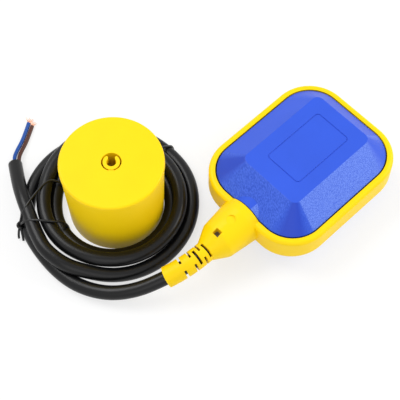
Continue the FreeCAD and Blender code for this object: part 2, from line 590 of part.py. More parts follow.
# Switch box in the float, with its lid
def make_switch_box():
    body = new_body("switch_box")
    outline = new_sketch(body, "BoxOutline", lift="sizes.box_foot")
    draw_rounded(outline, BOX_LENGTH, "sizes.box_width", "sizes.box_corner", BOX_MIDDLE)
    extrude(body, "Pad", "Box", outline, "sizes.box_top - sizes.box_foot")
    hollow = new_sketch(body, "HollowOutline", lift=BOX_FLOOR)
    draw_rounded(hollow, "(%s - 2 * sizes.box_wall)" % BOX_LENGTH, "(sizes.box_width - 2 * sizes.box_wall)",
                 "(sizes.box_corner - sizes.box_wall)", BOX_MIDDLE)
    extrude(body, "Pocket", "Hollow", hollow, "sizes.box_top", reverse=True)

    # Two brackets for the rocker's pin, out from the side walls
    brackets = new_sketch(body, "BracketOutline", lift=BOX_FLOOR)
    gap = "(sizes.tray_half + sizes.bracket_gap)"
    for left, right in (("-sizes.box_width / 2 + 1", "-" + gap), (gap, "sizes.box_width / 2 - 1")):
        draw_rectangle(brackets, "sizes.pivot_x - 3 * sizes.pivot_radius",
                       "sizes.pivot_x + 3 * sizes.pivot_radius", left, right)
    extrude(body, "Pad", "Brackets", brackets, "sizes.pivot_z + 3 * sizes.pivot_radius - %s" % BOX_FLOOR)
    pin_hole = new_sketch(body, "PinHoleOutline", "XZ_Plane")
    draw_circle(pin_hole, "sizes.pivot_x", "sizes.pivot_z", "sizes.pivot_radius")
    extrude(body, "Pocket", "PinHole", pin_hole, "2 * sizes.pin_half", both=True)

    # Rib that carries the microswitch, and the inlet of the two conductors
    rib = new_sketch(body, "RibOutline", lift=BOX_FLOOR)
    draw_rectangle(rib, "-sizes.micro_left", "-sizes.micro_right",
                   "sizes.micro_half", "sizes.box_width / 2 - 1")
    extrude(body, "Pad", "Rib", rib, "sizes.micro_top - %s" % BOX_FLOOR)
    stop = new_sketch(body, "StopOutline", lift=BOX_FLOOR)
    draw_rectangle(stop, "sizes.tray_right - 4", "sizes.tray_right - 1", "-sizes.tray_half", "sizes.tray_half")
    extrude(body, "Pad", "Stop", stop, "sizes.tray_foot - 0.3 - %s" % BOX_FLOOR)

    inlets = new_sketch(body, "InletOutline", "YZ_Plane", lift="-sizes.box_left - 1")
    for place in ("sizes.blue_inlet", "sizes.brown_inlet"):
        draw_circle(inlets, place, "sizes.inlet_height", "sizes.core_size / 2 + sizes.running_gap")
    extrude(body, "Pocket", "Inlets", inlets, "sizes.box_wall + 1.5", reverse=True)
    screws = new_sketch(body, "ScrewHoleOutline", "XZ_Plane", lift="-sizes.micro_half")
    for x in SCREW_PLACES:
        draw_circle(screws, x, "(sizes.micro_top - sizes.screw_drop)", "sizes.screw_radius")
    extrude(body, "Pocket", "ScrewHoles", screws, "sizes.screw_grip")
    return body


def make_box_lid():
    body = new_body("box_lid")
    plate = new_sketch(body, "PlateOutline", lift="sizes.box_top")
    draw_rounded(plate, BOX_LENGTH, "sizes.box_width", "sizes.box_corner", BOX_MIDDLE)
    extrude(body, "Pad", "Plate", plate, "sizes.lid_thick")
    inset = "(sizes.box_wall + sizes.lip_gap)"
    lip = new_sketch(body, "LipOutline", lift="sizes.box_top")
    for step in (inset, "(%s + 1.2)" % inset):
        draw_rounded(lip, "(%s - 2 * %s)" % (BOX_LENGTH, step), "(sizes.box_width - 2 * %s)" % step,
                     "(sizes.box_corner - %s * 0.9)" % step, BOX_MIDDLE)
    extrude(body, "Pad", "Lip", lip, "sizes.lid_lip", reverse=True)
    return body


# Rocker that the ball rolls on
def make_rocker():
    body = new_body("ball_rocker")
    tray = new_sketch(body, "TrayOutline", lift="sizes.tray_foot")
    draw_rectangle(tray, "-sizes.tray_left", "sizes.tray_right", "-sizes.tray_half", "sizes.tray_half")
    extrude(body, "Pad", "Tray", tray, "sizes.tray_top - sizes.tray_foot")
    trough = new_sketch(body, "TroughOutline", lift=TRAY_DECK)
    draw_rectangle(trough, "-sizes.tray_left + sizes.tray_wall", "sizes.tray_right - sizes.tray_wall",
                   "-sizes.tray_half + sizes.tray_wall", "sizes.tray_half - sizes.tray_wall")
    extrude(body, "Pocket", "Trough", trough, "sizes.tray_top", reverse=True)
    stem = new_sketch(body, "StemOutline", lift=TRAY_DECK)
    draw_rectangle(stem, "-sizes.tray_left", "-sizes.tray_left + sizes.tray_wall",
                   "-sizes.arm_half", "sizes.arm_half")
    extrude(body, "Pad", "Stem", stem, "sizes.arm_height + sizes.arm_thick - %s" % TRAY_DECK)
    arm = new_sketch(body, "ArmOutline", lift="sizes.arm_height")
    draw_rectangle(arm, "-sizes.arm_reach", "-sizes.tray_left + sizes.tray_wall / 2",
                   "-sizes.arm_half", "sizes.arm_half")
    extrude(body, "Pad", "Arm", arm, "sizes.arm_thick")
    pad = new_sketch(body, "PadOutline", "XZ_Plane")
    draw_circle(pad, "-sizes.press_x", "sizes.arm_height", "sizes.pad_radius")
    extrude(body, "Pad", "PressPad", pad, "2 * sizes.arm_half", both=True)

    # Two ears under the tray, with the bore for the pin
    for name, lift in (("LeftEar", "sizes.ear_half"), ("RightEar", "-sizes.ear_half - sizes.ear_thick")):
        ear = new_sketch(body, name + "Outline", "XZ_Plane", lift=lift)
        draw_circle(ear, "sizes.pivot_x", "sizes.pivot_z", "sizes.ear_radius")
        extrude(body, "Pad", name, ear, "sizes.ear_thick")
    bore = new_sketch(body, "PinBoreOutline", "XZ_Plane")
    draw_circle(bore, "sizes.pivot_x", "sizes.pivot_z", "sizes.pivot_radius + sizes.pivot_fit")
    extrude(body, "Pocket", "PinBore", bore, "4 * (sizes.ear_half + sizes.ear_thick)", both=True)
    return body


def make_rod(name, role, x, y, radius, lift, length):
    """A plain round rod, padded from a plane of its own."""
    body = new_body(name)
    sketch = new_sketch(body, name + "Outline", role, lift=lift)
    draw_circle(sketch, x, y, radius)
    extrude(body, "Pad", "Rod", sketch, length)
    return body


def make_block(name, left, right, near, far, foot, height):
    body = new_body(name)
    sketch = new_sketch(body, name + "Outline", lift=foot)
    draw_rectangle(sketch, left, right, near, far)
    extrude(body, "Pad", "Block", sketch, height)
    return body


def make_ball():
    ball = doc.addObject("Part::Sphere", "steel_ball")
    ball.Label = "steel_ball"
    ball.setExpression("Radius", "sizes.ball_radius")
    ball.setExpression("Placement.Base.x", BALL_PLACE)
    ball.setExpression("Placement.Base.z", "%s + sizes.ball_radius + 0.3" % TRAY_DECK)
    return ball


# Microswitch: case, side plate, snap blade, plunger and three terminals
def make_micro_case():
    body = new_body("microswitch_case")
    outline = new_sketch(body, "CaseOutline", lift="sizes.micro_foot")
    draw_rectangle(outline, "-sizes.micro_left", "-sizes.micro_right",
                   "(-sizes.micro_half + sizes.micro_cover)", "sizes.micro_half")
    extrude(body, "Pad", "Case", outline, "sizes.micro_top - sizes.micro_foot")
    hollow = new_sketch(body, "HollowOutline", "XZ_Plane", lift="(sizes.micro_half - sizes.micro_cover)")
    draw_rectangle(hollow, "(-sizes.micro_left + sizes.micro_wall)", "(-sizes.micro_right - sizes.micro_wall)",
                   "(sizes.micro_foot + sizes.micro_wall)", "(sizes.micro_top - sizes.micro_wall)")
    extrude(body, "Pocket", "Hollow", hollow, "2 * sizes.micro_half - sizes.micro_cover - sizes.micro_wall")
    bosses = new_sketch(body, "BossOutline", "XZ_Plane", lift="(sizes.micro_half - sizes.micro_cover)")
    for x in SCREW_PLACES:
        draw_circle(bosses, x, "(sizes.micro_top - sizes.screw_drop)", "sizes.screw_radius + 0.8")
    extrude(body, "Pad", "Bosses", bosses, "2 * sizes.micro_half - sizes.micro_cover - sizes.micro_wall / 2",
            reverse=True)
    holes = new_sketch(body, "ScrewHoleOutline", "XZ_Plane")
    for x in SCREW_PLACES:
        draw_circle(holes, x, "(sizes.micro_top - sizes.screw_drop)",
                    "sizes.screw_radius + sizes.running_gap")
    extrude(body, "Pocket", "ScrewHoles", holes, "4 * sizes.micro_half", both=True)
    guide = new_sketch(body, "GuideOutline", lift="sizes.plunger_foot")
    draw_circle(guide, "-sizes.press_x", "0", "sizes.plunger_radius + sizes.plunger_gap")
    extrude(body, "Pocket", "Guide", guide, "sizes.micro_top", reverse=True)
    return body


def make_micro_cover():
    body = new_body("microswitch_cover")
    plate = new_sketch(body, "PlateOutline", "XZ_Plane", lift="(sizes.micro_half - sizes.micro_cover)")
    draw_rectangle(plate, "-sizes.micro_left", "-sizes.micro_right", "sizes.micro_foot", "sizes.micro_top")
    for x in SCREW_PLACES:
        draw_circle(plate, x, "(sizes.micro_top - sizes.screw_drop)",
                    "sizes.screw_radius + sizes.running_gap")
    extrude(body, "Pad", "Plate", plate, "sizes.micro_cover")
    return body


def make_micro_screws():
    """Two screws along Y, each a head and a shank, as one group of solids."""
    solids = []
    half = size("micro_half")
    height = size("micro_top") - size("screw_drop")
    for place in SCREW_PLACES:
        seat = Vector(value(place), -half, height)
        head = Part.makeCylinder(size("screw_head"), 1.0, seat, Vector(0, -1, 0))
        shank = Part.makeCylinder(size("screw_radius"), 2 * half + size("screw_grip"), seat, Vector(0, 1, 0))
        slot = Part.makeBox(2 * size("screw_head"), 0.5, 0.5)
        slot.translate(seat + Vector(-size("screw_head"), -1.0, -0.25))
        solids.append(head.fuse(shank).cut(slot))
    screws = doc.addObject("Part::Feature", "switch_screws")
    screws.Label = "switch_screws"
    screws.Shape = Part.makeCompound(solids)
    return screws


SCREW_PLACES = ["(-sizes.micro_left + sizes.screw_first)",
                "(-sizes.micro_left + sizes.screw_first + sizes.screw_pitch)"]
BALL_PLACE = "(sizes.tray_right - sizes.tray_wall - 0.3 - sizes.ball_radius)"


# Counterweight: shell with its sleeve, lid with the break-off cable clip, and ballast
def stand_weight(body):
    body.setExpression("Placement.Base.x", "sizes.weight_x")
    body.setExpression("Placement.Base.y", "sizes.weight_y")


def make_weight_shell():
    body = new_body("weight_shell")
    profile = new_sketch(body, "ShellProfile", "XZ_Plane")
    top_radius = "(sizes.weight_radius - sizes.groove_depth)"
    sleeve = "(sizes.eye_radius + sizes.sleeve_wall)"
    sleeve_top = "(sizes.weight_height - sizes.weight_lid_thick)"
    draw_polygon(profile, [("sizes.eye_radius", "0"), ("sizes.weight_foot_radius", "0"),
                           (top_radius, LID_UNDER), ("(%s - sizes.weight_wall)" % top_radius, LID_UNDER),
                           ("(sizes.weight_foot_radius - sizes.weight_wall)", "sizes.weight_floor"),
                           (sleeve, "sizes.weight_floor"), (sleeve, sleeve_top),
                           ("sizes.eye_radius", sleeve_top)])
    turn(body, "Revolution", "Shell", profile, "V_Axis")
    round_edges(body, "FootRound", "1.2", lambda e: at_height(e, 0) and
                e.BoundBox.XMax > size("weight_foot_radius") - 1)
    stand_weight(body)
    return body


def make_weight_lid():
    body = new_body("weight_lid")
    profile = new_sketch(body, "LidProfile", "XZ_Plane")
    spigot = "(sizes.weight_radius - sizes.groove_depth - sizes.weight_wall - 0.15)"
    spigot_foot = "(%s - sizes.lid_spigot)" % LID_UNDER
    plate = "(sizes.weight_height - sizes.weight_lid_thick)"
    draw_polygon(profile, [("sizes.eye_radius", plate), ("sizes.eye_radius", "sizes.weight_height"),
                           ("sizes.weight_radius", "sizes.weight_height"), ("sizes.weight_radius", LID_UNDER),
                           (spigot, LID_UNDER), ("(%s - 0.1)" % spigot, spigot_foot),
                           ("(%s - 1.6)" % spigot, spigot_foot), ("(%s - 1.6)" % spigot, plate)])
    turn(body, "Revolution", "Lid", profile, "V_Axis")
    round_edges(body, "RimRound", "sizes.lid_round", lambda e: at_height(e, size("weight_height")) and
                e.BoundBox.XMax > size("weight_radius") - 1)

    # The clip hangs in the hole on one bridge, with its mouth opposite
    def turned(name, lift):
        sketch = new_sketch(body, name, lift=lift)
        sketch.AttachmentOffset = Placement(sketch.AttachmentOffset.Base,
                                            Rotation(Vector(0, 0, 1), size("clip_turn")))
        sketch.setExpression("AttachmentOffset.Rotation.Angle", "sizes.clip_turn")
        return sketch

    bridge = turned("BridgeOutline", "(sizes.weight_height - 0.6)")
    draw_rectangle(bridge, "(sizes.clip_bore + 0.8)", "(sizes.eye_radius + 0.4)",
                   "-sizes.clip_bridge / 2", "sizes.clip_bridge / 2")
    extrude(body, "Pad", "Bridge", bridge, "1.2", reverse=True)
    ring = turned("ClipOutline", "(sizes.weight_height - 0.25)")
    draw_circle(ring, "0", "0", "sizes.clip_radius")
    draw_circle(ring, "0", "0", "sizes.clip_bore")
    extrude(body, "Pad", "Clip", ring, "sizes.clip_height", reverse=True)
    mouth = turned("MouthOutline", "(sizes.weight_height + 1)")
    draw_rectangle(mouth, "-(sizes.clip_radius + 0.5)", "-sizes.clip_bore / 2",
                   "-sizes.clip_mouth / 2", "sizes.clip_mouth / 2")
    extrude(body, "Pocket", "Mouth", mouth, "sizes.clip_height + 3")

    def on_tip(edge):
        box = edge.BoundBox
        upright = box.ZLength > size("clip_height") / 2 and box.XLength < 0.01 and box.YLength < 0.01
        radius = math.hypot(box.XMin, box.YMin)
        return upright and size("clip_bore") - 0.1 < radius < size("clip_radius") + 0.1

    round_edges(body, "TipRound", "0.8", on_tip)
    stand_weight(body)
    return body


def make_ballast():
    body = new_body("ballast_ring")
    profile = new_sketch(body, "BallastProfile", "XZ_Plane")
    draw_rectangle(profile, "(sizes.eye_radius + sizes.sleeve_wall + 0.4)", "sizes.ballast_radius",
                   "sizes.weight_floor", "(sizes.weight_floor + sizes.ballast_height)")
    turn(body, "Revolution", "Ballast", profile, "V_Axis")
    stand_weight(body)
    return body


# Cable and wires: straight runs joined by tangent arcs
def rounded_path(points):
    edges = []
    radii = []
    start = points[0]
    for before, corner, after in zip(points, points[1:], points[2:]):
        back = (before - corner)
        ahead = (after - corner)
        shorter = min(back.Length, ahead.Length)
        turn_angle = math.pi - back.getAngle(ahead)
        radius = 0.45 * shorter / math.tan(turn_angle / 2)
        radii.append(radius)
        enter = corner + back.normalize() * 0.45 * shorter
        leave = corner + ahead.normalize() * 0.45 * shorter
        bisector = (back + ahead).normalize()
        middle = corner + bisector * (radius / math.cos(turn_angle / 2) - radius)
        edges.append(Part.LineSegment(start, enter).toShape())
        edges.append(Part.Arc(enter, middle, leave).toShape())
        start = leave
    edges.append(Part.LineSegment(start, points[-1]).toShape())
    return Part.Wire(edges), radii


def sweep(path, radius):
    first = path.Edges[0]
    section = Part.Wire(Part.makeCircle(radius, first.valueAt(first.FirstParameter),
                                        first.tangentAt(first.FirstParameter)))
    return path.makePipeShell([section], True, False)


def tube_shape(name, points, diameter):
    path, radii = rounded_path([Vector(*p) for p in points])
    shape = sweep(path, diameter / 2)
    expected = math.pi * diameter ** 2 / 4 * path.Length
    print("%s: length %.1f, radii %s, volume ratio %.4f"
          % (name, path.Length, [round(r, 1) for r in radii], shape.Volume / expected))
    return shape


def make_tube(name, points, diameter):
    tube = doc.addObject("Part::Feature", name)
    tube.Label = name
    tube.Shape = tube_shape(name, points, diameter)
    return tube


def around_coil(radius, degrees, height):
    angle = math.radians(degrees)
    return (size("coil_x") + radius * math.cos(angle), size("coil_y") + radius * math.sin(angle), height)


def make_cable_root():
    """The cable inside the neck and the strain relief: straight, then the relief's bend."""
    place = relief_placement()
    bend = value_of_bend()
    half = math.radians(size("relief_turn")) / 2
    points = [place.multVec(Vector(bend * math.cos(a), bend * math.sin(a), 0)) for a in (0, half, 2 * half)]
    sheath_end = Vector(-size("sheath_end_at"), 0, size("axis_height"))
    path = Part.Wire([Part.LineSegment(sheath_end, points[0]).toShape(), Part.Arc(*points).toShape()])
    root = doc.addObject("Part::Feature", "cable_root")
    root.Label = "cable_root"
    root.Shape = sweep(path, size("cable_size") / 2)
    return root


def relief_exit():
    angle = math.radians(size("relief_turn"))
    bend = value_of_bend()
    place = relief_placement()
    end = place.multVec(Vector(bend * math.cos(angle), bend * math.sin(angle), 0))
    heading = place.Rotation.multVec(Vector(-math.sin(angle), math.cos(angle), 0))
    return end, heading


def make_coil():
    """Closed solid of the coil's outer shape: two turns on the floor and one lying on them."""
    turns = (("InnerTurn", "sizes.inner_turn", CABLE_RADIUS), ("UpperTurn", "sizes.upper_turn",
                                                                "sizes.upper_turn_height"),
             ("OuterTurn", "sizes.outer_turn", CABLE_RADIUS))
    rings = []
    for name, radius, height in turns:
        ring = doc.addObject("Part::Torus", name)
        ring.setExpression("Radius1", radius)
        ring.setExpression("Radius2", CABLE_RADIUS)
        ring.setExpression("Placement.Base.z", height)
        rings.append(ring)
    core = new_body("CoilCore")
    profile = new_sketch(core, "CoreProfile", "XZ_Plane")
    draw_polygon(profile, [(radius, height) for name, radius, height in turns])
    turn(core, "Revolution", "Core", profile, "V_Axis")
    coil = doc.addObject("Part::MultiFuse", "cable_coil")
    coil.Label = "cable_coil"
    coil.Shapes = rings + [core]
    coil.setExpression("Placement.Base.x", "sizes.coil_x")
    coil.setExpression("Placement.Base.y", "sizes.coil_y")
    return coil


# Routes, chosen by hand, in millimetres
exit_point, exit_heading = relief_exit()
LEAD_ROUTE = [tuple(exit_point), tuple(exit_point + exit_heading * 10), (-121.4, 15.1, 9.7),
              (-129.8, 23.3, 6.5), (-136.4, 33.4, 4.9), (-140.8, 45.2, 4.3), (-142.1, 58.6, 4.3),
              (-141.1, 71.5, 4.3), (-139.1, 82.2, 4.3), (-135.6, 91.0, 4.3)]
TAIL_ROUTE = [(-140.6, 67.3, 13.0), (-138.0, 77.0, 13.1), (-135.0, 85.2, 13.1), (-131.4, 93.4, 12.5),
              (-126.8, 103.5, 9.8), (-120.8, 115.7, 6.2), (-114.2, 127.4, 4.3)]
BLUE_ROUTE = [(-115.4, 128.1, 4.3), (-113.0, 132.6, 3.6), (-108.4, 136.2, 2.6), (-101.8, 139.4, 1.6),
              (-95.4, 143.0, 1.4), (-89.0, 146.7, 1.3)]
BROWN_ROUTE = [(-113.0, 126.9, 4.3), (-110.4, 130.4, 3.6), (-105.9, 133.2, 2.5), (-100.2, 135.9, 1.6),
               (-94.3, 138.9, 1.4), (-88.1, 142.8, 1.3)]
# Two runs over the coil and two loose ends, all of which meet in the knot
COIL_TIE_ROUTES = [[(29.8, 169, 1.2), (30.0, 169, 8.5), (33.2, 167, 14.6), (38.9, 164, 17.2),
                    (46.4, 158.5, 18.0), (52.2, 155.5, 16.2), (55.0, 154, 11.5), (55.7, 153.2, 8.0)],
                   [(55.7, 152.4, 8.0), (54.6, 151, 12.3), (51.5, 147.5, 16.8), (46.5, 140, 17.7),
                    (39.3, 122, 17.0), (33.4, 119, 14.4), (30.0, 118, 8.5), (29.8, 118, 1.2)],
                   [(56.0, 152.8, 7.0), (58.0, 154.6, 4.0), (58.6, 157.5, 1.2)],
                   [(56.0, 152.8, 7.0), (56.0, 156.0, 3.4), (56.6, 160.0, 1.0)]]
BACK_TIE_ROUTE = [(31.0, 8, 1.2), (31.1, 8, 8.5), (34.0, 8, 14.6), (38.9, 7, 17.1), (44.4, 6, 13.2),
                  (48.6, 5, 9.9), (52.4, 4, 6.6), (52.9, 4, 1.2)]


def make_coil_tie():
    shape = Part.makeSphere(size("knot_radius"), Vector(*around_coil(55.7, 152.8, 8.0)))
    for route in COIL_TIE_ROUTES:
        shape = shape.fuse(tube_shape("coil_tie run", [around_coil(*p) for p in route], size("tie_size")))
    tie = doc.addObject("Part::Feature", "coil_tie")
    tie.Label = "coil_tie"
    tie.Shape = shape
    return tie


def make_strands(name, route):
    """Seven bare strands that fan out from the cut end of a conductor."""
    tip = Vector(*route[-1])
    heading = (tip - Vector(*route[-2])).normalize()
    across = heading.cross(Vector(0, 0, 1)).normalize()
    upward = across.cross(heading)
    strands = []
    for number in range(7):
        angle = math.radians(60 * number)
        ring = 0.0 if number == 6 else 1.0
        outward = (across * math.cos(angle) + upward * math.sin(angle) * 0.5) * ring
        lean = heading + outward * 0.22
        length = 4.2 + 0.3 * (number % 3)
        strands.append(Part.makeCylinder(size("strand_size") / 2, length, tip + outward * 0.6, lean))
    bundle = doc.addObject("Part::Feature", name)
    bundle.Label = name
    bundle.Shape = Part.makeCompound(strands)
    return bundle


def inner_conductor(name, first, inlet, end):
    """A conductor from the cut sheath through the neck's chamber to its terminal."""
    height = size("axis_height")
    low = size("inlet_height")
    middle = (first + inlet) / 2
    start = -size("sheath_end_at")
    wall = -size("box_left")
    route = [(start, first, height), (start + 9, first, height), (start + 14, middle, height - 0.6),
             (start + 16.7, middle, height - 4.0), (wall - 5, inlet, height - 8.5),
             (wall - 2.2, inlet, low)] + end
    return make_tube(name, route, size("core_size"))


sub_parts = [
    make_band_and_neck(),
    make_cover("upper_cover", 1),
    make_cover("lower_cover", -1),
    make_seal("upper_seal", "(sizes.band_top - sizes.seal_recess - sizes.seal_height)"),
    make_seal("lower_seal", "(sizes.band_foot + sizes.seal_recess)"),
    make_strain_relief(),
    ring_body("cable_lock", "-(sizes.chamber_end_at - 0.1)", "-(sizes.chamber_end_at - 0.1 - sizes.lock_length)",
              CABLE_BORE, "sizes.lock_radius"),
    ring_body("neck_potting", "-(sizes.sheath_end_at + sizes.potting_length)", "-sizes.sheath_end_at",
              CABLE_BORE, "(sizes.chamber_radius - sizes.running_gap)"),
    make_cable_root(),
    make_switch_box(),
    make_box_lid(),
    make_rocker(),
    make_rod("rocker_pin", "XZ_Plane", "sizes.pivot_x", "sizes.pivot_z", "sizes.pivot_radius",
             "-sizes.pin_half", "2 * sizes.pin_half"),
    make_ball(),
    make_micro_case(),
    make_micro_cover(),
    make_rod("switch_plunger", "XY_Plane", "-sizes.press_x", "0", "sizes.plunger_radius",
             "sizes.plunger_foot", "sizes.plunger_top - sizes.plunger_foot"),
    make_block("snap_blade", "(-sizes.micro_left + sizes.micro_wall)",
               "(-sizes.micro_right - 2 * sizes.micro_wall)", "(-sizes.terminal_half + 0.2)",
               "(sizes.terminal_half - 0.2)", "sizes.blade_height", "sizes.blade_thick"),
    make_micro_screws(),
    make_weight_shell(),
    make_weight_lid(),
    make_ballast(),
    make_coil(),
    make_tube("cable_lead", LEAD_ROUTE, size("cable_size")),
    make_tube("cable_tail", TAIL_ROUTE, size("cable_size")),
    make_tube("blue_conductor", BLUE_ROUTE, size("core_size")),
    make_tube("brown_conductor", BROWN_ROUTE, size("core_size")),
    make_strands("blue_strands", BLUE_ROUTE),
    make_strands("brown_strands", BROWN_ROUTE),
    make_coil_tie(),
    make_tube("back_tie", [around_coil(*p) for p in BACK_TIE_ROUTE], size("tie_size")),
]
for number, name in enumerate(("common_terminal", "open_terminal", "closed_terminal")):
    middle = "(-sizes.micro_left + sizes.terminal_inset + %d * sizes.terminal_pitch)" % number
    sub_parts.append(make_block(name, "(%s - sizes.terminal_thick / 2)" % middle,
                                "(%s + sizes.terminal_thick / 2)" % middle, "-sizes.terminal_half",
                                "sizes.terminal_half", "sizes.terminal_foot",
                                "sizes.micro_foot - sizes.terminal_foot"))
blue_y = size("blue_inlet")
brown_y = size("brown_inlet")
inlet_z = size("inlet_height")
common_x = -size("common_at")
open_x = -size("open_at")
sub_parts.append(inner_conductor("inner_blue_wire", 1.35, blue_y, [(common_x + 0.5, blue_y, inlet_z)]))
sub_parts.append(inner_conductor("inner_brown_wire", -1.35, brown_y,
                                 [(open_x - 4.5, brown_y, inlet_z), (open_x - 1.0, blue_y, inlet_z),
                                  (open_x + 1.1, blue_y, inlet_z)]))
doc.recompute()

for item in doc.Objects:
    if "Invalid" in item.State or "Error" in item.State:
        raise ValueError("failed object: %s" % item.Name)
for part in sub_parts:
    if part.Shape.isNull() or not part.Shape.isValid():
        raise ValueError("bad shape: %s" % part.Label)

os.makedirs("parts", exist_ok=True)
for part in sub_parts:
    part.Shape.exportStep("parts/%s.step" % part.Label)
    print("%s: %d solid(s), %.1f mm3" % (part.Label, len(part.Shape.Solids), part.Shape.Volume))
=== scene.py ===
import bpy
import bmesh
import json
import math
import random
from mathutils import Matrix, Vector


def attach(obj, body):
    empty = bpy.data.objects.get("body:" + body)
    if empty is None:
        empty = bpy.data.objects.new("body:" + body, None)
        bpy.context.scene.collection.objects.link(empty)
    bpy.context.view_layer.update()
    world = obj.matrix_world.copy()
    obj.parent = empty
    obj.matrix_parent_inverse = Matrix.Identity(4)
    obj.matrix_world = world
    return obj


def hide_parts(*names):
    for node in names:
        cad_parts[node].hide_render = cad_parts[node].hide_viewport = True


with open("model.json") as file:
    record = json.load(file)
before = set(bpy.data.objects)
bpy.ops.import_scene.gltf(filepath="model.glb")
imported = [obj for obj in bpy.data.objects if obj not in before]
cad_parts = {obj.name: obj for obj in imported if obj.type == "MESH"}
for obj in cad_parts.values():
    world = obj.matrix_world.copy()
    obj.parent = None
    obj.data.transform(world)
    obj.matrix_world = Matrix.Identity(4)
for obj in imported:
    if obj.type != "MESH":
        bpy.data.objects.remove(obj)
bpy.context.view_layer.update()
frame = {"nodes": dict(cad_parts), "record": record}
print("frame loaded")

# The photograph's own viewing angle, for a 400 x 400 frame
cameraSettings = {
    "azimuth": -43.75,
    "elevation": 61.8,
    "target": (-0.04884, 0.03430, 0.0),
    "distance": 0.720,
    "lens": 108.0,
    "sensorWidth": 36.0,
    "nearest": 0.01,
    "farthest": 20.0,
}


def makeCamera(settings):
    azimuth = math.radians(settings["azimuth"])
    elevation = math.radians(settings["elevation"])
    back = Vector((math.sin(azimuth) * math.cos(elevation), -math.cos(azimuth) * math.cos(elevation),
                   math.sin(elevation)))
    data = bpy.data.cameras.new("camera")
    data.lens = settings["lens"]
    data.sensor_width = settings["sensorWidth"]
    data.clip_start = settings["nearest"]
    data.clip_end = settings["farthest"]
    camera = bpy.data.objects.new("camera", data)
    bpy.context.scene.collection.objects.link(camera)
    camera.rotation_mode = "QUATERNION"
    camera.location = Vector(settings["target"]) + back * settings["distance"]
    camera.rotation_quaternion = (-back).to_track_quat("-Z", "Y")
    bpy.context.scene.camera = camera


makeCamera(cameraSettings)
print("camera placed")

# Cable: out of the strain relief, three turns clockwise round the counterweight, and over itself to the cut end
cableSettings = {
    "radius": 0.00425,
    "middle": (-0.0898, 0.0666),
    "exit": (-0.10299, 0.00510, 0.01691),
    "heading": (-0.8660, 0.3716, -0.3346),
    "straight": 0.010,
    "lead": [(-0.1214, 0.0151, 0.0097), (-0.1298, 0.0233, 0.0065), (-0.1364, 0.0334, 0.0049),
             (-0.1408, 0.0452, 0.0043), (-0.1421, 0.0586, 0.0043), (-0.1411, 0.0715, 0.0043),
             (-0.1391, 0.0822, 0.0043), (-0.1356, 0.0910, 0.0043)],
    # angle in degrees, radius and height of the cable's middle
    "stations": [(136, 0.0500, 0.0043), (112, 0.0490, 0.0043), (82, 0.0476, 0.0043), (45, 0.0420, 0.0043),
                 (9, 0.0358, 0.0043), (-20, 0.0349, 0.0043), (-70, 0.0349, 0.0043), (-100, 0.0346, 0.0043),
                 (-130, 0.0342, 0.0043), (-180, 0.0339, 0.0043),
                 (-225, 0.0340, 0.0045), (-260, 0.0352, 0.0080), (-285, 0.0363, 0.0105),
                 (-315, 0.0383, 0.0123), (-351, 0.0392, 0.0120), (-400, 0.0403, 0.0111),
                 (-470, 0.0403, 0.0110), (-500, 0.0396, 0.0112), (-540, 0.0400, 0.0116),
                 (-600, 0.0402, 0.0129), (-635, 0.0434, 0.0132), (-660, 0.0465, 0.0130),
                 (-675, 0.0480, 0.0116), (-695, 0.0482, 0.0060),
                 (-711, 0.0475, 0.0043), (-735, 0.0478, 0.0043), (-790, 0.0468, 0.0043), (-850, 0.0468, 0.0047),
                 (-868, 0.0474, 0.0082), (-882, 0.0496, 0.0114), (-892, 0.0518, 0.0128)],
    "step": 15,
    "tail": [(-0.1406, 0.0673, 0.0130), (-0.1380, 0.0770, 0.0131), (-0.1350, 0.0852, 0.0131),
             (-0.1316, 0.0932, 0.0130), (-0.1280, 0.1022, 0.0131), (-0.1222, 0.1142, 0.0100),
             (-0.1147, 0.1269, 0.0056)],
    "length": 0.93,
}


def aroundCoil(radius, degrees, height):
    turn = math.radians(degrees)
    middle = cableSettings["middle"]
    return (middle[0] + radius * math.cos(turn), middle[1] + radius * math.sin(turn), height)


def coilPoints(settings):
    stations = settings["stations"]
    swell = 1 / math.cos(math.radians(settings["step"] / 2))  # the spline runs inside its points
    points = []
    angle = stations[0][0]
    while angle >= stations[-1][0]:
        for (angleA, radiusA, heightA), (angleB, radiusB, heightB) in zip(stations, stations[1:]):
            if angleB <= angle <= angleA:
                share = (angleA - angle) / (angleA - angleB)
                radius = radiusA + (radiusB - radiusA) * share
                height = heightA + (heightB - heightA) * share
        points.append(aroundCoil(radius * swell, angle, height))
        angle -= settings["step"]
    return points


def addSpline(data, points, radius):
    spline = data.splines.new("NURBS")
    spline.points.add(len(points) - 1)
    for place, point in zip(spline.points, points):
        place.co = (*point, 1.0)
        place.radius = radius  # a curve's box grows by this, so it is the real one
    spline.order_u = 3
    spline.use_endpoint_u = True
    spline.resolution_u = 8


def makeTube(name, routes, radius, segments=6):
    data = bpy.data.curves.new(name, "CURVE")
    data.dimensions = "3D"
    data.bevel_depth = 1.0
    data.bevel_resolution = segments
    data.use_fill_caps = True
    for points in routes:
        addSpline(data, points, radius)
    piece = bpy.data.objects.new(name, data)
    bpy.context.scene.collection.objects.link(piece)
    return piece


exitPoint = Vector(cableSettings["exit"])
straightEnd = exitPoint + Vector(cableSettings["heading"]) * cableSettings["straight"]
cableRoute = [tuple(exitPoint), tuple(straightEnd)]
cableRoute += cableSettings["lead"] + coilPoints(cableSettings) + cableSettings["tail"]
cable = makeTube("cable", [cableRoute], cableSettings["radius"], 8)
print("cable laid with", len(cableRoute), "points")

